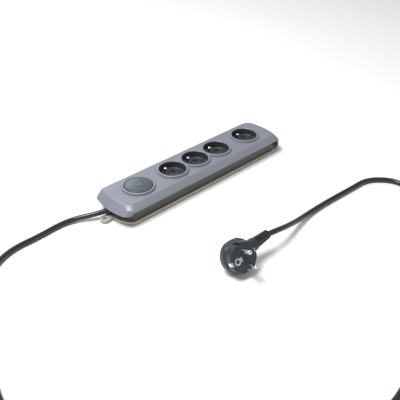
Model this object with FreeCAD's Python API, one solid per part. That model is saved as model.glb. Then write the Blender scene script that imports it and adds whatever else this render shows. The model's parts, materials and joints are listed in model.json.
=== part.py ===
"""Four-way desk power strip with a round push switch, a hanging eyelet and a lead with an angled plug.

Units are millimetres and +Z is up. The strip runs along X with the switch and the lead at -X.
The origin is at floor level, under the middle of the strip with its eyelet.
"""
import FreeCAD
import Part

import math
import os

V = FreeCAD.Vector
Z_AXIS = V(0, 0, 1)

# Strip: plan and heights
MID_X = 3.5            # middle of the cover; the eyelet and the base plate reach past it
CORNER_X = 152.0       # half length of the cover at its corners
COVER_TIP = 158.7      # half length of the cover at the crown of its bowed ends
COVER_HALF_W = 36.0
CREST_HALF_W = 29.0    # the flat top is this wide; a band slopes down outside it
TOP_Z = 30.4
RIM_Z = 33.0
BEVEL_Z = 25.5         # foot of the sloping band along each long side
EDGE_Z = 21.6          # lower edge of the cover along its long sides
SKIRT_Z = 18.8         # lower edge of the end skirts
SKIRT_RUN = 11.0       # the end skirts spread out this far on the way down
SKIRT_RETURN = 10.7    # they turn this far round the corners
SKIRT_RAMP = 4.5       # and then rise to the side edge over this length
COVER_WALL = 2.0
CORNER_R = 12.0
CREST_R = 4.0

FOOT_H = 1.5
PLATE_TOP = 3.0
FLANGE_Z = 5.0         # raised border of the base plate
PLATE_HALF_W = 33.5
PLATE_LEFT_X = -137.0
PLATE_LEFT_TIP = -150.0
PLATE_LEFT_R = 9.0
PLATE_RIGHT_X = 158.0
PLATE_RIGHT_TIP = 165.7
PLATE_RIGHT_R = 14.0
END_WALL_Z = 13.0
END_WALL_T = 1.8
TRAY_CORNER_X = 139.0
TRAY_TIP = 146.0
TRAY_TOP_Z = 23.0
TRAY_TOP_HALF_W = 33.4
TRAY_FOOT_HALF_W = 31.3
TRAY_WALL = 2.0
TRAY_CORNER_R = 15.0

EYELET_X = -158.9      # centre of the hanging hole
EYELET_Y = 1.3
EYELET_R = 6.8
EYELET_HOLE_R = 3.0

# Outlets: recess of 39 mm, contacts 19 mm apart, earth pin 10 mm off their line
PITCH = 43.4
END_REACH = 105.0      # last outlet and switch button lie this far from the middle
OUTLET_X = [MID_X - PITCH, MID_X, MID_X + PITCH, MID_X + END_REACH]
WELL_R = 19.5
WELL_WALL = 1.3
WELL_FLOOR_Z = 22.0
WELL_FLOOR_T = 2.0
RIM_W = 3.3
RIM_LIP = 1.6
RIM_ROUND = 0.9
RIM_BEVEL = 0.5
HOLE_SPACING = 19.0
HOLE_R = 2.75
PIN_R = 2.4
EARTH_OFFSET = 10.0
EARTH_TIP_Z = 33.6
TURN = 45.0            # the outlets are turned this far about their axes

# Shutters behind the contact holes
SHUTTER_L = 27.0
SHUTTER_W = 8.0
SHUTTER_T = 1.8
SHUTTER_GAP = 0.3
RAIL_T = 1.5
RAIL_LIP = 1.2

# Conductors
BAR_T = 1.2
BAR_W = 9.0
EARTH_BAR_Y = 15.4
EARTH_BAR_Z = 12.0
CONTACT_TOP_Z = 15.4
LEAF_T = 0.8
LEAF_W = 6.0
LEAF_GAP = 4.2
WIRE_R = 1.1

# Switch
SWITCH_X = MID_X - END_REACH
BUTTON_R = 19.0
BUTTON_GAP = 1.0
BUTTON_FOOT_Z = 25.6
BUTTON_EDGE_Z = 33.1
BUTTON_DOME = 1.2
BUTTON_WALL = 2.0
BUTTON_FLANGE_R = 21.4
STEM_R = 4.0
STEM_FIT = 0.08
TRAVEL = 3.0
HOUSING = 26.0
HOUSING_TOP_Z = 19.0
CHAMBER_TOP_Z = 13.0
TERMINAL_Z = PLATE_TOP + 1.6
TERMINAL_T = 1.0
BRIDGE_Z = TERMINAL_Z + TERMINAL_T + TRAVEL + 0.7
BRIDGE_T = 1.2

# Fasteners
SCREW_R = 1.45
SCREW_HEAD_R = 2.8
BOSS_R = 3.5
PAD_R = 4.5
CASE_SCREWS = [(-128, 22), (-128, -22), (136, 22), (136, -22), (78, 22), (-70, -22)]
FEET = [(-108, 15), (-108, -15), (120, 15), (120, -15)]

# Lead
CORD_D = 7.2
CORD_R = CORD_D / 2
GLAND_Y = 4.0
GLAND_Z = 11.2
GLAND_IN_X = -130.0
GLAND_BEND_X = -144.5  # outside the wall the gland turns towards the cord
STUB_L = 10.0
CLAMP_X = -125.0
CLAMP_L = 6.0
CLAMP_HALF_W = 11.0
CLAMP_SCREW_Y = [GLAND_Y - 8.5, GLAND_Y + 8.5]

COIL_CENTRE = V(-318, -345, 0)
COIL_MID_R = 43.0
COIL_WIDTH = 3 * 7.4
COIL_LOW_Z = 1.5
COIL_HIGH_Z = 15.1
TIE_ANGLE = -30.0
TIE_T = 1.0
TIE_W = 9.0
TIE_GAP = 0.4

STRIP_ROUTE = [
    (-153.7, 7.7, 10.2), (-168.6, 13.7, 8.6), (-184.5, 25.5, 5.4), (-207, 31.5, 3.8), (-243, 28, 3.8),
    (-284, 28.5, 3.8), (-319, 9, 3.8), (-350, -43, 3.8), (-378, -102, 3.8), (-396, -162, 3.8),
    (-400, -216, 4.0), (-393, -262, 4.6), (-378, -305, 4.8), (-370.5, -345, 4.8),
]
PLUG_ROUTE = [
    (-327.3, -389.7, 11.4), (-306, -396, 12.4), (-282, -401, 9.0), (-252, -406, 4.4), (-206, -408, 3.8),
    (-155, -412, 3.8), (-104, -409, 3.8), (-54, -392, 3.8), (1, -364, 3.8), (68, -328, 3.8),
    (133, -287, 3.8), (193, -258, 3.8), (209, -216, 3.8), (180, -182, 3.8), (141, -180.2, 3.8),
    (104, -177.4, 3.8), (70, -175.8, 3.8), (42, -176.6, 5.2), (14, -181.2, 11.2), (-13, -186, 19.6),
    (-35.3, -188.3, 26.2), (-52, -186.7, 27.8),
]

# Plug
PLUG_AT = V(-101.1, -183.9, 20.8)
PLUG_ROLL = -10.0      # the neck rises a little
PLUG_LEAN = -26.0      # lies on the rim of its cap with the pins raised
PLUG_YAW = -8.0
PLUG_FACE_Y = -13.0
PLUG_PIN_L = 19.0
PLUG_PIN_TIP_R = 1.7
PLUG_ROOT_R = 1.9
PLUG_ROOT_L = 10.0
PLUG_FACE_R = 18.7
PLUG_BODY_R = 21.0
PLUG_FLAT = 17.4       # the cap is cut flat this far above and below its axis
NECK_Y = 0.5
NECK_END_X = 28.0
RELIEF_END_X = 50.0
SLEEVE_R = 3.2
SLEEVE_BORE_R = 2.45
SLEEVE_L = 15.0


def placed_box(x0, x1, y0, y1, z0, z1):
    return Part.makeBox(x1 - x0, y1 - y0, z1 - z0, V(x0, y0, z0))


def cylinder(x, y, z0, z1, radius):
    return Part.makeCylinder(radius, z1 - z0, V(x, y, z0))


def ring(x, y, z0, z1, outer, inner):
    return cylinder(x, y, z0, z1, outer).cut(cylinder(x, y, z0, z1, inner))


def fused(solids):
    whole = solids[0]
    for solid in solids[1:]:
        whole = whole.fuse(solid)
    return whole.removeSplitter()


def bowed_ends(left_x, left_tip, right_x, right_tip, half_w, z):
    """Closed outline with straight long sides and bowed ends."""
    a, b = V(left_x, -half_w, z), V(right_x, -half_w, z)
    c, d = V(right_x, half_w, z), V(left_x, half_w, z)
    return Part.Wire([
        Part.LineSegment(a, b).toShape(),
        Part.Arc(b, V(right_tip, 0, z), c).toShape(),
        Part.LineSegment(c, d).toShape(),
        Part.Arc(d, V(left_tip, 0, z), a).toShape(),
    ])


def bowed_outline(corner_x, tip, half_w, z):
    return bowed_ends(MID_X - corner_x, MID_X - tip, MID_X + corner_x, MID_X + tip, half_w, z)


def upright_edges(solid):
    """Edges at the four corners of a bowed plate."""
    return [e for e in solid.Edges
            if abs(e.tangentAt(e.FirstParameter).z) > 0.99 and e.Length > 1]


def bowed_plate(corner_x, tip, half_w, z0, z1, corner_r):
    plate = Part.Face(bowed_outline(corner_x, tip, half_w, z0)).extrude(V(0, 0, z1 - z0))
    return plate.makeFillet(corner_r, upright_edges(plate))


def across_prism(profile):
    """Prism along X from (y, z) points of one half, mirrored to the other half."""
    right = [V(MID_X - 200, y, z) for y, z in profile]
    left = [V(MID_X - 200, -y, z) for y, z in reversed(profile)]
    points = right + left
    return Part.Face(Part.makePolygon(points + [points[0]])).extrude(V(400, 0, 0))


def cover_level(inset, half_w, z):
    """Rounded outline of the cover at one height; its ends lean inwards as they rise."""
    bow_r = (COVER_HALF_W ** 2 + (COVER_TIP - CORNER_X) ** 2) / (2 * (COVER_TIP - CORNER_X))
    tip = COVER_TIP - inset - SKIRT_RUN * (z - SKIRT_Z) / (TOP_Z - SKIRT_Z)
    sag = bow_r - math.sqrt(bow_r ** 2 - half_w ** 2)
    plate = bowed_plate(tip - sag, tip, half_w, z, z + 5, CORNER_R - inset)
    return min(plate.Faces, key=lambda face: face.CenterOfMass.z).OuterWire


def cover_form(inset):
    """Closed outer form of the cover, or its hollow when inset by the wall."""
    side, crown = COVER_HALF_W - inset, TOP_Z - inset
    levels = [
        cover_level(inset, side, SKIRT_Z - 1),
        cover_level(inset, side, BEVEL_Z - 0.5 * inset),
        cover_level(inset, CREST_HALF_W - 0.3 * inset, crown),
    ]
    form = Part.makeLoft(levels, True, True)
    crest = [e for e in form.Edges if e.BoundBox.ZMin > crown - 0.01]
    return form.makeFillet(CREST_R, crest)


def side_openings():
    """Space under the side edges, with a ramp up from each end skirt."""
    foot = CORNER_X - SKIRT_RETURN + SKIRT_RAMP
    reach = CORNER_X - SKIRT_RETURN
    points = [V(MID_X - foot - 1, 0, SKIRT_Z - 2), V(MID_X - foot, 0, SKIRT_Z),
              V(MID_X - reach, 0, EDGE_Z), V(MID_X + reach, 0, EDGE_Z),
              V(MID_X + foot, 0, SKIRT_Z), V(MID_X + foot + 1, 0, SKIRT_Z - 2)]
    block = Part.Face(Part.makePolygon(points + [points[0]])).extrude(V(0, 20, 0))
    near, far = block.copy(), block.copy()
    near.translate(V(0, -COVER_HALF_W - 15.5, 0))
    far.translate(V(0, COVER_HALF_W - 4.5, 0))
    return [near, far]


def rim_disc(x, radius):
    """Raised disc with a rounded shoulder, bored afterwards to leave a rim."""
    disc = cylinder(x, 0, TOP_Z - 2.0, RIM_Z, radius)
    return disc.makeFillet(RIM_ROUND, [e for e in disc.Edges if e.BoundBox.ZMin > RIM_Z - 0.01])


def rim_bore(x, radius):
    """Tool for the hole through a rim, with a small bevel at its mouth."""
    mouth = Part.makeCone(radius, radius + RIM_BEVEL, RIM_BEVEL, V(x, 0, RIM_Z - RIM_BEVEL))
    return cylinder(x, 0, 10, RIM_Z + 10, radius).fuse(mouth)


def top_cover():
    below = placed_box(MID_X - 200, MID_X + 200, -50, 50, SKIRT_Z - 2, SKIRT_Z)
    cover = cover_form(0.0).cut(below).cut(cover_form(COVER_WALL))
    for opening in side_openings():
        cover = cover.cut(opening)
    for x in OUTLET_X:
        cover = cover.fuse(rim_disc(x, WELL_R + RIM_W))
    cover = cover.fuse(rim_disc(SWITCH_X, BUTTON_R + BUTTON_GAP + RIM_W))
    for x, y in CASE_SCREWS:
        cover = cover.fuse(cylinder(x, y, FLANGE_Z, TOP_Z - 1.5, BOSS_R))
    for x in OUTLET_X:
        cover = cover.cut(rim_bore(x, WELL_R + 0.1))
        cover = cover.cut(cylinder(x, 0, 10, RIM_Z - RIM_LIP, WELL_R + WELL_WALL + 0.1))
    cover = cover.cut(rim_bore(SWITCH_X, BUTTON_R + BUTTON_GAP))
    for x, y in CASE_SCREWS:
        cover = cover.cut(cylinder(x, y, FLANGE_Z - 1, 16.5, SCREW_R + 0.1))
    return cover


def tray_form(inset, z0, z1):
    plan = bowed_plate(TRAY_CORNER_X - inset, TRAY_TIP - inset, TRAY_TOP_HALF_W + 1 - inset,
                       z0, z1, TRAY_CORNER_R - inset)
    slope = (TRAY_TOP_HALF_W - TRAY_FOOT_HALF_W) / (TRAY_TOP_Z - FLANGE_Z)
    section = [
        (TRAY_FOOT_HALF_W - inset - 2 * slope, FLANGE_Z - 2),
        (TRAY_TOP_HALF_W - inset + 2 * slope, TRAY_TOP_Z + 2),
    ]
    return plan.common(across_prism(section))


def body_tray():
    """Ring of side wall between the base plate and the cover."""
    tray = tray_form(0.0, FLANGE_Z, TRAY_TOP_Z)
    tray = tray.cut(tray_form(TRAY_WALL, FLANGE_Z - 1, TRAY_TOP_Z + 1))
    bore = Part.makeCylinder(5.8, 20, V(GLAND_BEND_X - 5, GLAND_Y, GLAND_Z), V(1, 0, 0))
    return tray.cut(bore)


def end_wall(outline):
    """Border of the plate at its far end, rising to shield the gap under the cover."""
    edge = Part.Face(outline).extrude(V(0, 0, END_WALL_Z - FOOT_H))
    corners = [e for e in upright_edges(edge) if e.CenterOfMass.x > 0 and abs(e.CenterOfMass.y) > 33]
    edge = edge.makeFillet(PLATE_RIGHT_R, corners)
    inner = bowed_ends(PLATE_LEFT_X, PLATE_LEFT_TIP, PLATE_RIGHT_X - END_WALL_T, PLATE_RIGHT_TIP - END_WALL_T,
                       PLATE_HALF_W - END_WALL_T, FOOT_H)
    core = Part.Face(inner).extrude(V(0, 0, END_WALL_Z))
    corners = [e for e in upright_edges(core) if e.CenterOfMass.x > 0 and abs(e.CenterOfMass.y) > 30]
    edge = edge.cut(core.makeFillet(PLATE_RIGHT_R - END_WALL_T, corners))
    points = [V(148, -50, FOOT_H), V(148, -50, FLANGE_Z - 0.5), V(160, -50, END_WALL_Z), V(180, -50, END_WALL_Z),
              V(180, -50, FOOT_H)]
    keep = Part.Face(Part.makePolygon(points + [points[0]])).extrude(V(0, 100, 0))
    return edge.common(keep)


def base_plate():
    """Floor of the case with a raised border and a tab for the hanging hole."""
    outline = bowed_ends(PLATE_LEFT_X, PLATE_LEFT_TIP, PLATE_RIGHT_X, PLATE_RIGHT_TIP, PLATE_HALF_W, FOOT_H)
    plate = Part.Face(outline).extrude(V(0, 0, FLANGE_Z - FOOT_H))
    for side, radius in ((-1, PLATE_LEFT_R), (1, PLATE_RIGHT_R)):
        corners = [e for e in upright_edges(plate)
                   if e.CenterOfMass.x * side > 0 and abs(e.CenterOfMass.y) > 33]
        plate = plate.makeFillet(radius, corners)
    plate = plate.fuse(end_wall(outline))
    tab = cylinder(EYELET_X, EYELET_Y, FOOT_H, FLANGE_Z, EYELET_R)
    neck = placed_box(EYELET_X, PLATE_LEFT_TIP + 6, EYELET_Y - 5.5, EYELET_Y + 5.5, FOOT_H, FLANGE_Z)
    plate = fused([plate, tab, neck])
    plate = plate.makeFillet(0.6, [e for e in plate.Edges if e.BoundBox.ZMax < FOOT_H + 0.01])
    inset = TRAY_WALL + 0.3
    plate = plate.cut(bowed_plate(TRAY_CORNER_X - inset, TRAY_TIP - inset, TRAY_FOOT_HALF_W - inset,
                                  PLATE_TOP, FLANGE_Z + 1, TRAY_CORNER_R - inset))
    plate = plate.cut(cylinder(EYELET_X, EYELET_Y, 0, 10, EYELET_HOLE_R))
    for x, y in CASE_SCREWS:
        plate = plate.fuse(cylinder(x, y, FOOT_H, FLANGE_Z, PAD_R))
        plate = plate.cut(cylinder(x, y, 0, 10, SCREW_R + 0.15))
        plate = plate.cut(cylinder(x, y, 0, FOOT_H + 1.7, SCREW_HEAD_R + 0.2))
    return plate


def rubber_feet():
    return [cylinder(x, y, 0, FOOT_H, 5.0) for x, y in FEET]


def case_screws():
    screws = []
    for x, y in CASE_SCREWS:
        head = cylinder(x, y, FOOT_H + 0.2, FOOT_H + 1.7, SCREW_HEAD_R)
        slot = placed_box(x - 2, x + 2, y - 0.4, y + 0.4, FOOT_H, FOOT_H + 0.9)
        cross = placed_box(x - 0.4, x + 0.4, y - 2, y + 2, FOOT_H, FOOT_H + 0.9)
        shank = cylinder(x, y, FOOT_H + 1.7, 14.0, SCREW_R)
        screws.append(fused([head, shank]).cut(slot).cut(cross))
    return screws


def turned(solid, x):
    """From an outlet's own frame, with the contacts along X, to its place in the strip."""
    moved = solid.copy()
    moved.rotate(V(0, 0, 0), Z_AXIS, TURN)
    moved.translate(V(x, 0, 0))
    return moved


def socket_insert(x):
    """Well with a pierced floor and a pair of rails for the shutter below it."""
    outer = WELL_R + WELL_WALL
    floor_low = WELL_FLOOR_Z - WELL_FLOOR_T
    cup = cylinder(0, 0, floor_low, RIM_Z - RIM_LIP - 0.05, outer)
    well = cylinder(0, 0, WELL_FLOOR_Z, 50, WELL_R)
    cup = cup.cut(well.makeFillet(1.2, [e for e in well.Edges if e.BoundBox.ZMax < WELL_FLOOR_Z + 0.01]))
    rail_low = floor_low - SHUTTER_T - 2 * SHUTTER_GAP - RAIL_LIP
    for side in (-1, 1):
        inner, lip = side * (SHUTTER_L / 2 + SHUTTER_GAP), side * (SHUTTER_L / 2 - 1.2)
        far = side * (SHUTTER_L / 2 + SHUTTER_GAP + RAIL_T)
        x0, x1 = sorted((inner, far))
        rail = placed_box(x0, x1, -12.5, 4.6, rail_low, floor_low)
        x0, x1 = sorted((lip, far))
        ledge = placed_box(x0, x1, -12.5, 4.6, rail_low, rail_low + RAIL_LIP)
        cup = cup.fuse(rail).fuse(ledge)
    for side in (-1, 1):
        cup = cup.cut(cylinder(side * HOLE_SPACING / 2, 0, 10, 30, HOLE_R))
    cup = cup.cut(cylinder(0, EARTH_OFFSET, 10, 30, PIN_R + 0.05))
    return turned(cup, x)


def shutter(x):
    """Plate that closes both contact holes and slides clear of them."""
    top = WELL_FLOOR_Z - WELL_FLOOR_T - SHUTTER_GAP
    plate = placed_box(-SHUTTER_L / 2, SHUTTER_L / 2, -SHUTTER_W / 2, SHUTTER_W / 2,
                       top - SHUTTER_T, top)
    ramp = placed_box(-2.0, 2.0, -SHUTTER_W / 2 + 0.6, SHUTTER_W / 2 - 0.6, top - SHUTTER_T - 1.0,
                      top - SHUTTER_T)
    return turned(fused([plate, ramp]), x)


def earth_pins():
    pins = []
    for x in OUTLET_X:
        shank = cylinder(0, EARTH_OFFSET, EARTH_BAR_Z + BAR_T, EARTH_TIP_Z, PIN_R)
        tip = [e for e in shank.Edges if e.BoundBox.ZMin > EARTH_TIP_Z - 0.01]
        pins.append(turned(shank.makeFillet(1.6, tip), x))
    return pins


def earth_busbar():
    first, last = OUTLET_X[0], OUTLET_X[-1]
    off = EARTH_OFFSET * math.cos(math.radians(TURN))
    parts = [placed_box(first - 14, last - off + 2.5, EARTH_BAR_Y - 2.2, EARTH_BAR_Y + 2.2,
                        EARTH_BAR_Z, EARTH_BAR_Z + BAR_T)]
    for x in OUTLET_X:
        parts.append(placed_box(x - off - 2.5, x - off + 2.5, off - 2.4, EARTH_BAR_Y,
                                EARTH_BAR_Z, EARTH_BAR_Z + BAR_T))
    return fused(parts)


def contact_y(side):
    return side * HOLE_SPACING / 2 * math.sin(math.radians(TURN))


def busbar(side):
    """Strip on the base plate under one row of contacts, pierced for the pins of a plug."""
    y = contact_y(side)
    bar = placed_box(OUTLET_X[0] - 14, OUTLET_X[-1] + y + 5, y - BAR_W / 2, y + BAR_W / 2,
                     PLATE_TOP, PLATE_TOP + BAR_T)
    for x in OUTLET_X:
        bar = bar.cut(cylinder(x + y, y, PLATE_TOP - 1, PLATE_TOP + 2, HOLE_R))
    return bar


def contact_leaves(side):
    """A pair of spring leaves for each outlet, standing on the busbar."""
    leaves = []
    for x in OUTLET_X:
        cx, cy = x + contact_y(side), contact_y(side)
        for hand in (-1, 1):
            inner = hand * LEAF_GAP / 2
            x0, x1 = sorted((cx + inner, cx + inner + hand * LEAF_T))
            leaves.append(placed_box(x0, x1, cy - LEAF_W / 2, cy + LEAF_W / 2,
                                     PLATE_TOP + BAR_T, CONTACT_TOP_Z))
    return leaves


def switch_button():
    """Hollow domed cap with a retaining flange and a guide stem."""
    dome_r = (BUTTON_R ** 2 + BUTTON_DOME ** 2) / (2 * BUTTON_DOME)
    crown = BUTTON_EDGE_Z + BUTTON_DOME
    cap = cylinder(SWITCH_X, 0, BUTTON_FOOT_Z, crown, BUTTON_R)
    cap = cap.common(Part.makeSphere(dome_r, V(SWITCH_X, 0, crown - dome_r)))
    cap = cap.makeFillet(0.8, [e for e in cap.Edges if e.Closed and e.BoundBox.ZMin > BUTTON_EDGE_Z - 1])
    flange = cylinder(SWITCH_X, 0, BUTTON_FOOT_Z, BUTTON_FOOT_Z + 1.4, BUTTON_FLANGE_R)
    hollow = cylinder(SWITCH_X, 0, BUTTON_FOOT_Z - 1, BUTTON_EDGE_Z - 2.0, BUTTON_R - BUTTON_WALL)
    stem = cylinder(SWITCH_X, 0, BRIDGE_Z + BRIDGE_T, BUTTON_EDGE_Z - 1.0, STEM_R)
    return cap.fuse(flange).cut(hollow).fuse(stem)


def switch_housing():
    half = HOUSING / 2
    block = placed_box(SWITCH_X - half, SWITCH_X + half, -half, half, PLATE_TOP, HOUSING_TOP_Z)
    block = block.cut(placed_box(SWITCH_X - 9, SWITCH_X + 9, -9, 9, PLATE_TOP + 1.5, CHAMBER_TOP_Z))
    block = block.cut(cylinder(SWITCH_X, 0, 10, 30, STEM_R + STEM_FIT))
    for y in (-5.0, 5.0):
        block = block.cut(placed_box(SWITCH_X - 20, SWITCH_X + 20, y - 3.0, y + 3.0,
                                     PLATE_TOP + 1.5, PLATE_TOP + 2.7))
    return block


def switch_terminals():
    """Four blades that run in at the foot of the housing."""
    blades = []
    for side in (-1, 1):
        for y in (-5.0, 5.0):
            x0, x1 = sorted((SWITCH_X + side * 4.0, SWITCH_X + side * (HOUSING / 2 + 5)))
            blades.append(placed_box(x0, x1, y - 2.6, y + 2.6, TERMINAL_Z, TERMINAL_Z + TERMINAL_T))
    return blades


def switch_bridge():
    """Contact plate carried at the foot of the button's stem."""
    top = BRIDGE_Z + BRIDGE_T
    bars = [placed_box(SWITCH_X - 7.5, SWITCH_X + 7.5, y - 2.2, y + 2.2, BRIDGE_Z, top)
            for y in (-5.0, 5.0)]
    web = placed_box(SWITCH_X - 2.5, SWITCH_X + 2.5, -5, 5, BRIDGE_Z, top)
    return fused(bars + [web])


def switch_spring():
    radius, wire_r, low, high = 7.0, 0.55, HOUSING_TOP_Z + 0.6, BUTTON_EDGE_Z - 2.6
    helix = Part.makeHelix((high - low) / 4.5, high - low, radius)
    path = Part.Wire(helix.Edges)
    section = Part.Wire(Part.makeCircle(wire_r, V(radius, 0, 0), V(0, 1, 0)))
    coil = path.makePipeShell([section], True, True)
    coil.translate(V(SWITCH_X, 0, low))
    return coil


def cord_gland():
    """Sleeve through the wall with a collar inside; outside it tapers towards the cord."""
    axis = V(-1, 0, 0)
    bend = V(GLAND_BEND_X, GLAND_Y, GLAND_Z)
    barrel = Part.makeCylinder(5.6, GLAND_IN_X - GLAND_BEND_X + 0.6, V(GLAND_IN_X, GLAND_Y, GLAND_Z), axis)
    collar = Part.makeCylinder(7.6, 3.0, V(-135.5, GLAND_Y, GLAND_Z), axis)
    end = V(*STRIP_ROUTE[0])
    along = (V(*STRIP_ROUTE[1]) - end).normalize()
    length = (end - bend).Length
    taper = Part.makeCone(5.6, 4.4, length, end - along * length, along)
    return fused([barrel, collar, taper])


def cord_stub():
    """End of the sheath between the gland and the inner wires."""
    return Part.makeCylinder(CORD_R, STUB_L, V(GLAND_IN_X, GLAND_Y, GLAND_Z), V(1, 0, 0))


def cord_clamp():
    """Bar across the sheath, with a saddle under it, on two pillars."""
    x0, x1 = CLAMP_X - CLAMP_L / 2, CLAMP_X + CLAMP_L / 2
    y0, y1 = GLAND_Y - CLAMP_HALF_W, GLAND_Y + CLAMP_HALF_W
    low, high = GLAND_Z - CORD_R, GLAND_Z + CORD_R
    pieces = [placed_box(x0, x1, y0, y1, high, high + 2.5), placed_box(x0, x1, y0, y1, PLATE_TOP, low)]
    pieces += [placed_box(x0, x1, y - 2.5, y + 2.5, low, high) for y in CLAMP_SCREW_Y]
    clamp = fused(pieces)
    for y in CLAMP_SCREW_Y:
        clamp = clamp.cut(cylinder(CLAMP_X, y, 6.0, 30, 1.3))
    return clamp


def clamp_screws():
    top = GLAND_Z + CORD_R + 2.5
    return [fused([cylinder(CLAMP_X, y, 7.0, top, 1.2), cylinder(CLAMP_X, y, top, top + 1.4, 2.3)])
            for y in CLAMP_SCREW_Y]


def tube(points, radius, report):
    """Tube of straight runs and tangent arcs; prints the arc radii when asked."""
    pts = [V(*p) for p in points]
    edges, start, radii = [], pts[0], []
    for before, corner, after in zip(pts, pts[1:], pts[2:]):
        into, out = (corner - before), (after - corner)
        half = into.getAngle(out) / 2
        trim = 0.45 * min(into.Length, out.Length)
        radii.append(trim / math.tan(half))
        u, w = V(into).normalize(), V(out).normalize()
        a, b = corner - u * trim, corner + w * trim
        centre_dir = (w - u).normalize()
        middle = corner + centre_dir * (radii[-1] / math.cos(half) - radii[-1])
        edges.append(Part.LineSegment(start, a).toShape())
        edges.append(Part.Arc(a, middle, b).toShape())
        start = b
    edges.append(Part.LineSegment(start, pts[-1]).toShape())
    path = Part.Wire(edges)
    first = (pts[1] - pts[0]).normalize()
    section = Part.Wire(Part.makeCircle(radius, pts[0], first))
    solid = path.makePipeShell([section], True, False)
    if report:
        expected = math.pi * radius ** 2 * path.Length
        print("cord run %.1f mm, arc radii %s, volume %.4f of section x length"
              % (path.Length, [round(r, 1) for r in radii], solid.Volume / expected))
    return solid


def onward_wire(side):
    """From the switch blade on the outlet side down to the busbar."""
    y, z = side * 5.0, TERMINAL_Z + TERMINAL_T + WIRE_R
    row = contact_y(side)
    return tube([(SWITCH_X + 17.5, y, z), (SWITCH_X + 24.5, y + side * 0.6, z),
                 (SWITCH_X + 36.5, row, z - 0.2), (SWITCH_X + 50.5, row, z - 1.3)], WIRE_R, False)


def wire_live():
    x, y, z = GLAND_IN_X + STUB_L, GLAND_Y - 1.7, GLAND_Z - 0.9
    entry = tube([(x, y, z), (x + 1.8, y, z), (x + 3.1, 0, 9.6), (x + 3.3, -3.2, 8.2),
                  (x + 3.3, -5, 6.8)], WIRE_R, False)
    return [entry, onward_wire(-1)]


def wire_neutral():
    x, y, z = GLAND_IN_X + STUB_L, GLAND_Y + 1.7, GLAND_Z - 0.9
    entry = tube([(x, y, z), (x + 1.8, y, z), (x + 3.1, 5.4, 8.9), (x + 3.3, 5.1, 6.9)], WIRE_R, False)
    return [entry, onward_wire(1)]


def wire_earth():
    x, z = GLAND_IN_X + STUB_L, EARTH_BAR_Z + BAR_T + WIRE_R + 0.1
    return tube([(x, GLAND_Y, GLAND_Z + 1.8), (x + 2.4, GLAND_Y, GLAND_Z + 1.8), (x + 3.2, 10.2, 13.8),
                 (x + 4.8, 15.6, 14.2), (x + 10, 16.6, z), (x + 33, 16.9, z), (x + 55, EARTH_BAR_Y, z),
                 (x + 68, EARTH_BAR_Y, z)], WIRE_R, False)


def cord_coil():
    """Outer form of the wound length: a flat ring with rounded edges."""
    half = COIL_WIDTH / 2
    solid = ring(COIL_CENTRE.x, COIL_CENTRE.y, COIL_LOW_Z, COIL_HIGH_Z, COIL_MID_R + half, COIL_MID_R - half)
    return solid.makeFillet(3.2, [e for e in solid.Edges if e.Closed])


def cord_tie():
    """Strap round the bundle of turns."""
    near, far = COIL_MID_R - COIL_WIDTH / 2 - TIE_GAP, COIL_MID_R + COIL_WIDTH / 2 + TIE_GAP
    low, high = COIL_LOW_Z - TIE_GAP, COIL_HIGH_Z + TIE_GAP
    outer = placed_box(near - TIE_T, far + TIE_T, -TIE_W / 2, TIE_W / 2, low - TIE_T, high + TIE_T)
    strap = outer.cut(placed_box(near, far, -TIE_W, TIE_W, low, high))
    strap.rotate(V(0, 0, 0), Z_AXIS, TIE_ANGLE)
    strap.translate(COIL_CENTRE)
    return strap


def plug_pose(solid):
    """From the plug's own frame to where it lies on the floor."""
    moved = solid.copy()
    moved.rotate(V(0, 0, 0), V(0, 1, 0), PLUG_ROLL)
    moved.rotate(V(0, 0, 0), V(1, 0, 0), PLUG_LEAN)
    moved.rotate(V(0, 0, 0), Z_AXIS, PLUG_YAW)
    moved.translate(PLUG_AT)
    return moved


def plug_cap():
    """Round body about the pin axis."""
    points = [V(0, PLUG_FACE_Y, 0), V(PLUG_FACE_R, PLUG_FACE_Y, 0), V(PLUG_FACE_R + 0.6, -3, 0),
              V(PLUG_BODY_R, -1, 0), V(PLUG_BODY_R, 5, 0)]
    edges = [Part.LineSegment(a, b).toShape() for a, b in zip(points, points[1:])]
    edges.append(Part.Arc(V(PLUG_BODY_R, 5, 0), V(16.6, 11.6, 0), V(7, 14, 0)).toShape())
    edges.append(Part.LineSegment(V(7, 14, 0), V(0, 14, 0)).toShape())
    edges.append(Part.LineSegment(V(0, 14, 0), points[0]).toShape())
    cap = Part.Face(Part.Wire(edges)).revolve(V(0, 0, 0), V(0, 1, 0), 360)
    rim = [e for e in cap.Edges if e.Closed and e.BoundBox.YMax < PLUG_FACE_Y + 0.01]
    cap = cap.makeFillet(0.9, rim)
    return cap.common(placed_box(-30, 30, -30, 30, -PLUG_FLAT, PLUG_FLAT))


def plug_body():
    """Angled cap with the cable neck at +X."""
    body = plug_cap().fuse(Part.makeCone(10.5, 8.0, NECK_END_X, V(0, NECK_Y, 0), V(1, 0, 0)))
    for z in (-HOLE_SPACING / 2, HOLE_SPACING / 2):
        root = Part.makeCylinder(PLUG_ROOT_R, PLUG_ROOT_L, V(0, PLUG_FACE_Y, z), V(0, 1, 0))
        notch_z = math.copysign(PLUG_FLAT - 1, z)
        notch = placed_box(-2.5, 2.5, PLUG_FACE_Y, PLUG_FACE_Y + 9, notch_z - 1.5, notch_z + 1.5)
        body = body.cut(root).cut(notch)
    body = body.cut(Part.makeCylinder(SLEEVE_R + 0.1, SLEEVE_L + 1,
                                      V(-EARTH_OFFSET, PLUG_FACE_Y, 0), V(0, 1, 0)))
    for side in (-1, 1):
        x0, x1 = sorted((side * (PLUG_FACE_R - 2.4), side * (PLUG_FACE_R + 2)))
        body = body.cut(placed_box(x0, x1, PLUG_FACE_Y, -3.5, -3.4, 3.4))
    return plug_pose(body)


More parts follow.
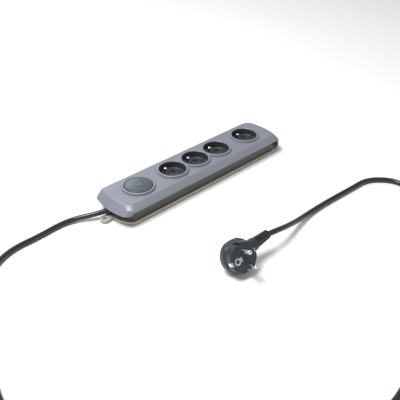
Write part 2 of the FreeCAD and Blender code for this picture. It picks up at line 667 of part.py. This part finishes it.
def plug_relief():
    """Sleeve from the neck to the cord, notched on both sides of a spine."""
    axis = V(1, 0, 0)
    sleeve = Part.makeCone(7.2, 5.7, RELIEF_END_X - NECK_END_X, V(NECK_END_X, NECK_Y, 0), axis)
    for k in range(6):
        x = NECK_END_X + 2.2 + 3.3 * k
        groove = Part.makeCylinder(12, 1.7, V(x, NECK_Y, 0), axis)
        groove = groove.cut(Part.makeCylinder(3.9, 1.7, V(x, NECK_Y, 0), axis))
        groove = groove.cut(placed_box(x - 1, x + 2, NECK_Y - 14, NECK_Y + 14, -1.5, 1.5))
        groove = groove.cut(placed_box(x - 1, x + 2, NECK_Y - 1.3, NECK_Y + 1.3, -14, 14))
        sleeve = sleeve.cut(groove)
    return plug_pose(sleeve)


def plug_pins():
    """Round pins with a thinner root inside the cap."""
    pins = []
    tip_y = PLUG_FACE_Y - PLUG_PIN_L
    for z in (-HOLE_SPACING / 2, HOLE_SPACING / 2):
        pin = Part.makeCylinder(PIN_R, PLUG_PIN_L, V(0, tip_y, z), V(0, 1, 0))
        rim = [e for e in pin.Edges if e.Closed and e.BoundBox.YMax < tip_y + 0.01]
        root = Part.makeCylinder(PLUG_ROOT_R, PLUG_ROOT_L, V(0, PLUG_FACE_Y, z), V(0, 1, 0))
        pins.append(plug_pose(pin.makeFillet(PLUG_PIN_TIP_R, rim).fuse(root)))
    return pins


def plug_earth_clips():
    """Side contacts in the two recesses of the rim."""
    clips = []
    for side in (-1, 1):
        x0, x1 = sorted((side * (PLUG_FACE_R - 2.4), side * (PLUG_FACE_R - 1.2)))
        leaf = placed_box(x0, x1, PLUG_FACE_Y + 0.2, -3.5, -3.0, 3.0)
        x0, x1 = sorted((side * (PLUG_FACE_R - 1.2), side * (PLUG_FACE_R - 0.2)))
        bulge = placed_box(x0, x1, PLUG_FACE_Y + 2.5, -6.0, -2.4, 2.4)
        clips.append(plug_pose(fused([leaf, bulge])))
    return clips


def plug_earth_sleeve():
    """Socket for the outlet's earth pin."""
    axis = V(0, 1, 0)
    mouth = V(-EARTH_OFFSET, PLUG_FACE_Y, 0)
    sleeve = Part.makeCylinder(SLEEVE_R, SLEEVE_L, mouth, axis)
    return plug_pose(sleeve.cut(Part.makeCylinder(SLEEVE_BORE_R, SLEEVE_L - 1, mouth, axis)))


def plug_face_plate():
    """Thin metal ring round the earth socket with a tongue to the middle, proud of the face."""
    axis = V(0, 1, 0)
    at = V(-EARTH_OFFSET, PLUG_FACE_Y - 0.6, 0)
    plate = Part.makeCylinder(4.5, 0.6, at, axis)
    plate = plate.fuse(placed_box(-EARTH_OFFSET, -3.2, PLUG_FACE_Y - 0.6, PLUG_FACE_Y, -2.9, 2.9))
    return plug_pose(plate.cut(Part.makeCylinder(SLEEVE_BORE_R + 0.05, 0.6, at, axis)))


def save(name, shape):
    """Write one node and print its box, as a check on the frame."""
    group = shape if isinstance(shape, list) else [shape]
    whole = Part.makeCompound(group) if len(group) > 1 else group[0]
    whole.exportStep("parts/%s.step" % name)
    box = whole.optimalBoundingBox(False)
    solids = sum(len(s.Solids) for s in group)
    valid = all(s.isValid() for s in group)
    print("%-18s %d solid(s) valid=%s volume %.0f" % (name, solids, valid, whole.Volume))
    print("    x %.1f..%.1f  y %.1f..%.1f  z %.2f..%.2f"
          % (box.XMin, box.XMax, box.YMin, box.YMax, box.ZMin, box.ZMax))


def main():
    os.makedirs("parts", exist_ok=True)
    save("base_plate", base_plate())
    save("rubber_feet", rubber_feet())
    save("case_screws", case_screws())
    save("body_tray", body_tray())
    save("top_cover", top_cover())
    for number, x in enumerate(OUTLET_X, 1):
        save("socket_insert_%d" % number, socket_insert(x))
        save("shutter_%d" % number, shutter(x))
    save("earth_pins", earth_pins())
    save("earth_busbar", earth_busbar())
    save("live_busbar", busbar(-1))
    save("neutral_busbar", busbar(1))
    save("live_contacts", contact_leaves(-1))
    save("neutral_contacts", contact_leaves(1))
    save("switch_button", switch_button())
    save("switch_housing", switch_housing())
    save("switch_terminals", switch_terminals())
    save("switch_bridge", switch_bridge())
    save("switch_spring", switch_spring())
    save("cord_gland", cord_gland())
    save("cord_stub", cord_stub())
    save("cord_clamp", cord_clamp())
    save("clamp_screws", clamp_screws())
    save("wire_live", wire_live())
    save("wire_neutral", wire_neutral())
    save("wire_earth", wire_earth())
    save("cord_to_coil", tube(STRIP_ROUTE, CORD_R, True))
    save("cord_coil", cord_coil())
    save("cord_tie", cord_tie())
    save("cord_to_plug", tube(PLUG_ROUTE, CORD_R, True))
    save("plug_body", plug_body())
    save("plug_relief", plug_relief())
    save("plug_pins", plug_pins())
    save("plug_earth_clips", plug_earth_clips())
    save("plug_earth_sleeve", plug_earth_sleeve())
    save("plug_face_plate", plug_face_plate())


main()
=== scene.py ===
import bpy
import bmesh
import json
import math
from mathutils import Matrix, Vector


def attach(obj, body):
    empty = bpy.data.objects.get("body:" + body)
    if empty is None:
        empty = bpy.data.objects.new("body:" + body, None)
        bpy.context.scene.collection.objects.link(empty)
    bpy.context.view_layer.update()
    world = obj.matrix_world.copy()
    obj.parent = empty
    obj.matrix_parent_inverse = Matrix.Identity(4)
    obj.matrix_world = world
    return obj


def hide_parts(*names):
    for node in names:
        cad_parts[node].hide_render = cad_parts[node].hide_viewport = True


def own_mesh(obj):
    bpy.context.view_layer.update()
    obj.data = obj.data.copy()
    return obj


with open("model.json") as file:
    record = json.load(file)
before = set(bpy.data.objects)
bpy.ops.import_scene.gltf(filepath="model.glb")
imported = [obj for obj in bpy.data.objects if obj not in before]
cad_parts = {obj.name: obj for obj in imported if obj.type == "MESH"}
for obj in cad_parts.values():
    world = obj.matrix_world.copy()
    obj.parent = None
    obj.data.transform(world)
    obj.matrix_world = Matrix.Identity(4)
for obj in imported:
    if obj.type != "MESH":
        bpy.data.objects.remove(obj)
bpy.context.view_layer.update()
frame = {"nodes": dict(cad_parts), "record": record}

MM = 0.001
NODES = frame["nodes"]
RECORD = frame["record"]
SLOT_OF = {s["node"]: s["material_slot"] for s in RECORD["subparts"]}

# ---------------------------------------------------------------- camera and light

VIEW_AZIMUTH, VIEW_ELEVATION = -43.196, 32.574
VIEW_DISTANCE = 0.8678
VIEW_ANGLE = 37.87
VIEW_SHIFT = (0.01275, -0.05395)
VIEW_TARGET = Vector((3.25, 0, -3.0)) * MM
VIEW_CLIP = (0.05, 20.0)
SENSOR_WIDTH = 36.0

SKY_STRENGTH = 0.42
KEY_AT, KEY_SIZE, KEY_POWER = (-0.56, 0.10, 1.47), (0.6, 0.6), 24.0
BACK_AT, BACK_SIZE, BACK_POWER = (0.2, 1.5, 1.0), (1.6, 0.5), 7.0


def make_camera():
    az, el = math.radians(VIEW_AZIMUTH), math.radians(VIEW_ELEVATION)
    back = Vector((math.sin(az) * math.cos(el), -math.cos(az) * math.cos(el), math.sin(el)))
    data = bpy.data.cameras.new("camera")
    data.sensor_width = SENSOR_WIDTH
    data.lens = SENSOR_WIDTH / 2 / math.tan(math.radians(VIEW_ANGLE) / 2)
    data.shift_x, data.shift_y = VIEW_SHIFT
    data.clip_start, data.clip_end = VIEW_CLIP
    cam = bpy.data.objects.new("camera", data)
    cam.location = VIEW_TARGET + back * VIEW_DISTANCE
    cam.rotation_mode = "QUATERNION"
    cam.rotation_quaternion = (-back).to_track_quat("-Z", "Y")
    bpy.context.scene.collection.objects.link(cam)
    bpy.context.scene.camera = cam


def area_light(name, place, size, power):
    """Rectangular lamp aimed at the middle of the part."""
    data = bpy.data.lights.new(name, "AREA")
    data.shape, data.size, data.size_y = "RECTANGLE", size[0], size[1]
    data.energy = power
    lamp = bpy.data.objects.new(name, data)
    lamp.location = place
    lamp.rotation_mode = "QUATERNION"
    lamp.rotation_quaternion = (-Vector(place)).to_track_quat("-Z", "Y")
    bpy.context.scene.collection.objects.link(lamp)


def make_lights():
    world = bpy.data.worlds.new("studio")
    bpy.context.scene.world = world
    world.use_nodes = True
    sky = world.node_tree.nodes["Background"]
    sky.inputs["Color"].default_value = (1.0, 1.0, 1.0, 1.0)
    sky.inputs["Strength"].default_value = SKY_STRENGTH
    area_light("key", KEY_AT, KEY_SIZE, KEY_POWER)
    area_light("back", BACK_AT, BACK_SIZE, BACK_POWER)
    bpy.context.scene.view_settings.view_transform = "Standard"


make_camera()

# ---------------------------------------------------------------- material helpers


class Shader:
    """A principled material built up from object-space noise. Sizes are in metres."""

    def __init__(self, name, colour, rough, metallic=0.0):
        self.material = bpy.data.materials.new(name)
        self.material.use_nodes = True
        self.tree = self.material.node_tree
        self.base = self.tree.nodes["Principled BSDF"]
        self.base.inputs["Base Color"].default_value = (*colour, 1.0)
        self.base.inputs["Roughness"].default_value = rough
        self.base.inputs["Metallic"].default_value = metallic
        self.colour, self.rough = colour, rough
        self.place = self.node("ShaderNodeTexCoord").outputs["Object"]
        self.last_normal = None

    def node(self, kind, **values):
        made = self.tree.nodes.new(kind)
        for key, value in values.items():
            setattr(made, key, value)
        return made

    def link(self, a, b):
        self.tree.links.new(a, b)

    def noise(self, size, detail=3.0, stretch=None):
        """Noise whose features are about size metres across, from 0 to 1."""
        made = self.node("ShaderNodeTexNoise")
        made.inputs["Scale"].default_value = 1.0 / size
        made.inputs["Detail"].default_value = detail
        source = self.place
        if stretch:
            scaled = self.node("ShaderNodeMapping")
            scaled.inputs["Scale"].default_value = stretch
            self.link(source, scaled.inputs["Vector"])
            source = scaled.outputs["Vector"]
        self.link(source, made.inputs["Vector"])
        return made.outputs["Fac"]

    def ramp(self, value, low, high, to_low, to_high):
        """Maps value from low..high to to_low..to_high, and holds it there."""
        made = self.node("ShaderNodeMapRange")
        made.inputs["From Min"].default_value = low
        made.inputs["From Max"].default_value = high
        made.inputs["To Min"].default_value = to_low
        made.inputs["To Max"].default_value = to_high
        self.link(value, made.inputs["Value"])
        return made.outputs["Result"]

    def mottle(self, value, low, high, second):
        """Mixes the colour with a second one as value goes from low to high."""
        mix = self.node("ShaderNodeMix", data_type="RGBA")
        colour_in = self.base.inputs["Base Color"]
        if colour_in.is_linked:
            self.link(colour_in.links[0].from_socket, mix.inputs[6])
        else:
            mix.inputs[6].default_value = colour_in.default_value[:]
        mix.inputs[7].default_value = (*second, 1.0)
        self.link(self.ramp(value, low, high, 0.0, 1.0), mix.inputs["Factor"])
        self.link(mix.outputs[2], colour_in)

    def vary_rough(self, value, spread):
        self.link(self.ramp(value, 0.3, 0.7, self.rough - spread, self.rough + spread),
                  self.base.inputs["Roughness"])

    def bump(self, value, height, strength=1.0):
        made = self.node("ShaderNodeBump")
        made.inputs["Strength"].default_value = strength
        made.inputs["Distance"].default_value = height
        self.link(value, made.inputs["Height"])
        if self.last_normal:
            self.link(self.last_normal, made.inputs["Normal"])
        self.last_normal = made.outputs["Normal"]
        self.link(self.last_normal, self.base.inputs["Normal"])

    def coat(self, weight, rough):
        self.base.inputs["Coat Weight"].default_value = weight
        self.base.inputs["Coat Roughness"].default_value = rough


def moulded(name, colour, rough, second, grain=0.0006, depth=0.00003, metallic=0.0):
    """Moulded plastic: fine spark-eroded grain with faint flow marks."""
    s = Shader(name, colour, rough, metallic)
    flow = s.noise(0.03, 4.0, (0.4, 1.0, 1.0))
    s.mottle(flow, 0.35, 0.7, second)
    s.vary_rough(s.noise(0.008, 4.0), 0.06)
    s.bump(s.noise(grain, 2.0), depth, 0.6)
    return s


def paint_cover():
    """Silver-grey lacquer with a fine flake and a satin clear coat."""
    s = moulded("cover_silver", (0.228, 0.235, 0.285), 0.48, (0.25, 0.26, 0.31), 0.0005, 0.00002, 0.3)
    flake = s.noise(0.00045, 1.0)
    s.mottle(flake, 0.60, 0.80, (0.30, 0.31, 0.36))
    s.coat(0.22, 0.42)
    return s.material


def paint_tray():
    return moulded("tray_olive", (0.056, 0.056, 0.034), 0.50, (0.068, 0.067, 0.044), 0.0007, 0.00006).material


def paint_plate():
    return moulded("plate_light", (0.46, 0.46, 0.41), 0.34, (0.40, 0.40, 0.35), 0.0007, 0.00004).material


def paint_insert():
    base, second = (0.040, 0.044, 0.050), (0.050, 0.055, 0.061)
    return moulded("insert_black", base, 0.30, second, 0.0005, 0.00003).material


def paint_shutter():
    return moulded("shutter_grey", (0.012, 0.012, 0.014), 0.5, (0.018, 0.018, 0.020)).material


def paint_metal(name, colour, rough, brushed=(1.0, 1.0, 1.0)):
    s = Shader(name, colour, rough, 1.0)
    lines = s.noise(0.0009, 3.0, brushed)
    s.vary_rough(lines, 0.08)
    s.mottle(s.noise(0.006, 4.0), 0.45, 0.75, tuple(0.82 * c for c in colour))
    s.bump(lines, 0.00001, 0.5)
    return s.material


def paint_button():
    s = moulded("button_slate", (0.050, 0.070, 0.098), 0.34, (0.056, 0.084, 0.100), 0.0004, 0.00001)
    s.coat(0.3, 0.2)
    return s.material


def paint_rubber(name, colour, rough):
    return moulded(name, colour, rough, tuple(1.35 * c for c in colour), 0.0006, 0.00004).material


def paint_sheath():
    s = Shader("sheath_pvc", (0.014, 0.018, 0.023), 0.22)
    s.mottle(s.noise(0.02, 4.0), 0.4, 0.75, (0.018, 0.022, 0.028))
    s.vary_rough(s.noise(0.004, 3.0), 0.05)
    s.bump(s.noise(0.0008, 2.0), 0.00002, 0.5)
    return s.material


PAINT = {
    "cover_silver": paint_cover(),
    "tray_olive": paint_tray(),
    "plate_light": paint_plate(),
    "foot_rubber": paint_rubber("foot_rubber", (0.02, 0.02, 0.02), 0.8),
    "screw_steel": paint_metal("screw_steel", (0.55, 0.55, 0.56), 0.3),
    "insert_black": paint_insert(),
    "shutter_grey": paint_shutter(),
    "pin_nickel": paint_metal("pin_nickel", (0.90, 0.89, 0.86), 0.16),
    "contact_brass": paint_metal("contact_brass", (0.78, 0.58, 0.26), 0.25, (1.0, 6.0, 6.0)),
    "button_slate": paint_button(),
    "housing_plastic": moulded("housing_plastic", (0.03, 0.03, 0.033), 0.5, (0.04, 0.04, 0.043)).material,
    "spring_steel": paint_metal("spring_steel", (0.6, 0.6, 0.6), 0.25),
    "gland_rubber": paint_rubber("gland_rubber", (0.014, 0.016, 0.020), 0.45),
    "sheath_pvc": paint_sheath(),
    "wire_brown": moulded("wire_brown", (0.16, 0.06, 0.025), 0.35, (0.20, 0.08, 0.03)).material,
    "wire_blue": moulded("wire_blue", (0.02, 0.08, 0.40), 0.35, (0.03, 0.10, 0.45)).material,
    "wire_green": moulded("wire_green", (0.10, 0.38, 0.05), 0.35, (0.55, 0.50, 0.04)).material,
    "plug_plastic": paint_rubber("plug_plastic", (0.022, 0.030, 0.038), 0.36),
    "tie_black": moulded("tie_black", (0.012, 0.012, 0.012), 0.5, (0.02, 0.02, 0.02)).material,
}


def finish_piece(obj, slot, body="strip"):
    obj.data.materials.clear()
    obj.data.materials.append(PAINT[slot])
    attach(obj, body)
    return obj


for node_name, node in NODES.items():
    node.data.materials.clear()
    node.data.materials.append(PAINT[SLOT_OF[node_name]])

# ---------------------------------------------------------------- the lead

CORD_DIAMETER = 7.2 * MM
COIL_CENTRE = (-318, -345)
COIL_MID_R = 43.0
TURN_STEP = 7.4
COIL_LOW_Z, COIL_HIGH_Z = 5.1, 11.5
COIL_START, COIL_END = 200.0, 258.3
SHIFT_FROM, LIFT_FROM = (0.82, 0.18), (0.70, 0.16)
POINTS_PER_TURN = 18
# A NURBS curve of order 3 cuts inside its points, so a round path has them this much further out.
STRETCH = 1 / (0.5 + 0.5 * math.cos(math.pi / POINTS_PER_TURN))

STRIP_ROUTE = [
    (-153.7, 7.7, 10.2), (-168.6, 13.7, 8.6), (-184.5, 25.5, 5.4), (-207, 31.5, 3.8), (-243, 28, 3.8),
    (-284, 28.5, 3.8), (-319, 9, 3.8), (-350, -43, 3.8), (-378, -102, 3.8), (-396, -162, 3.8),
    (-400, -216, 4.0), (-393, -262, 4.6), (-378, -305, 4.8), (-370.5, -345, 4.8),
]
PLUG_ROUTE = [
    (-327.3, -389.7, 11.4), (-306, -396, 12.4), (-282, -401, 9.0), (-252, -406, 4.4), (-206, -408, 3.8),
    (-155, -412, 3.8), (-104, -409, 3.8), (-54, -392, 3.8), (1, -364, 3.8), (68, -328, 3.8),
    (133, -287, 3.8), (193, -258, 3.8), (209, -216, 3.8), (180, -182, 3.8), (141, -180.2, 3.8),
    (104, -177.4, 3.8), (70, -175.8, 3.8), (42, -176.6, 5.2), (14, -181.2, 11.2), (-13, -186, 19.6),
    (-35.3, -188.3, 26.2), (-52, -186.7, 27.8),
]


def eased(t):
    t = min(max(t, 0.0), 1.0)
    return t * t * (3 - 2 * t)


def coil_route():
    """Five turns: three side by side on the floor, outside to inside, and two on top of them."""
    radii = [TURN_STEP, 0.0, -TURN_STEP, -TURN_STEP / 2, TURN_STEP / 2]
    heights = [COIL_LOW_Z] * 3 + [COIL_HIGH_Z] * 2
    last = len(radii) - 1
    whole = 360.0 * len(radii) + COIL_END - COIL_START
    steps = round(whole / 360.0 * POINTS_PER_TURN)
    points = []
    for k in range(1, steps):
        swept = whole * k / steps
        turn, share = divmod(swept / 360.0, 1.0)
        turn = int(turn)
        now, then = min(turn, last), min(turn + 1, last)
        shift = eased((share - SHIFT_FROM[0]) / SHIFT_FROM[1])
        lift = eased((share - LIFT_FROM[0]) / LIFT_FROM[1])
        radius = (COIL_MID_R + radii[now] + (radii[then] - radii[now]) * shift) * STRETCH
        height = heights[now] + (heights[then] - heights[now]) * lift
        angle = math.radians(COIL_START + swept)
        x = COIL_CENTRE[0] + radius * math.cos(angle)
        y = COIL_CENTRE[1] + radius * math.sin(angle)
        points.append((x, y, height))
    return points


def nurbs(name, points, radius):
    """Round rod of this radius in metres through a smooth path, points in millimetres."""
    data = bpy.data.curves.new(name, "CURVE")
    data.dimensions = "3D"
    data.bevel_depth, data.bevel_resolution = radius, 5
    data.resolution_u = 6
    data.use_fill_caps = True
    spline = data.splines.new("NURBS")
    spline.points.add(len(points) - 1)
    for point, p in zip(spline.points, points):
        point.co = (p[0] * MM, p[1] * MM, p[2] * MM, 1.0)
    spline.order_u = 3
    spline.use_endpoint_u = True
    obj = bpy.data.objects.new(name, data)
    bpy.context.scene.collection.objects.link(obj)
    return obj


lead = nurbs("lead", STRIP_ROUTE[:-1] + coil_route() + PLUG_ROUTE, CORD_DIAMETER / 2)
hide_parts("cord_to_coil", "cord_coil", "cord_to_plug")
finish_piece(lead, "sheath_pvc")

# ---------------------------------------------------------------- switch

SWITCH_X = -101.5
BUTTON_CROWN_Z, BUTTON_DOME, BUTTON_R = 34.3, 1.2, 19.0
MARK_R, MARK_BEAD = 7.2, 0.4
SPRING_R, SPRING_WIRE_R, SPRING_TURNS = 7.0, 0.55, 4.5
SPRING_LOW_Z, SPRING_HIGH_Z, SPRING_FOOT_Z = 19.6, 30.5, 19.0


def on_button(x, y):
    """Point on the domed top of the button, x and y from its middle."""
    return Vector((SWITCH_X + x, y, BUTTON_CROWN_Z - BUTTON_DOME * (x * x + y * y) / BUTTON_R ** 2))


def button_mark():
    """Open ring and a bar across its gap, standing proud of the button."""
    arc = [math.radians(120 + 12 * k) for k in range(26)]
    ring = [on_button(MARK_R * math.cos(a), MARK_R * math.sin(a)) for a in arc]
    bar = [on_button(0, y) for y in (2.0, 5.2, 8.4)]
    for name, points in (("mark_ring", ring), ("mark_bar", bar)):
        finish_piece(nurbs(name, points, MARK_BEAD * MM), "housing_plastic", "switch")


def spring_points():
    steps = round(SPRING_TURNS * POINTS_PER_TURN)
    reach = SPRING_R * STRETCH
    points = []
    for k in range(steps + 1):
        angle = math.tau * SPRING_TURNS * k / steps
        height = SPRING_LOW_Z + (SPRING_HIGH_Z - SPRING_LOW_Z) * k / steps
        points.append((SWITCH_X + reach * math.cos(angle), reach * math.sin(angle), height))
    return points


def switch_spring():
    """Wound spring under the button."""
    wound = nurbs("wound", spring_points(), SPRING_WIRE_R * MM)
    mesh = bpy.data.meshes.new_from_object(wound)
    bpy.data.objects.remove(wound)
    spring = bpy.data.objects.new("spring", mesh)
    bpy.context.scene.collection.objects.link(spring)
    for face in mesh.polygons:
        face.use_smooth = True
    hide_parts("switch_spring")
    finish_piece(spring, "spring_steel")
    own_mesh(spring)


button_mark()
switch_spring()

# ---------------------------------------------------------------- floor

FLOOR_HALF = 4.0


def make_floor():
    mesh = bpy.data.meshes.new("floor")
    form = bmesh.new()
    signs = ((-1, -1), (1, -1), (1, 1), (-1, 1))
    form.faces.new([form.verts.new((x * FLOOR_HALF, y * FLOOR_HALF, 0.0)) for x, y in signs])
    form.to_mesh(mesh)
    form.free()
    floor = bpy.data.objects.new("floor", mesh)
    bpy.context.scene.collection.objects.link(floor)
    s = Shader("floor_white", (0.93, 0.93, 0.93), 0.7)
    s.mottle(s.noise(0.5, 2.0), 0.3, 0.7, (0.95, 0.95, 0.95))
    mesh.materials.append(s.material)


make_floor()
make_lights()
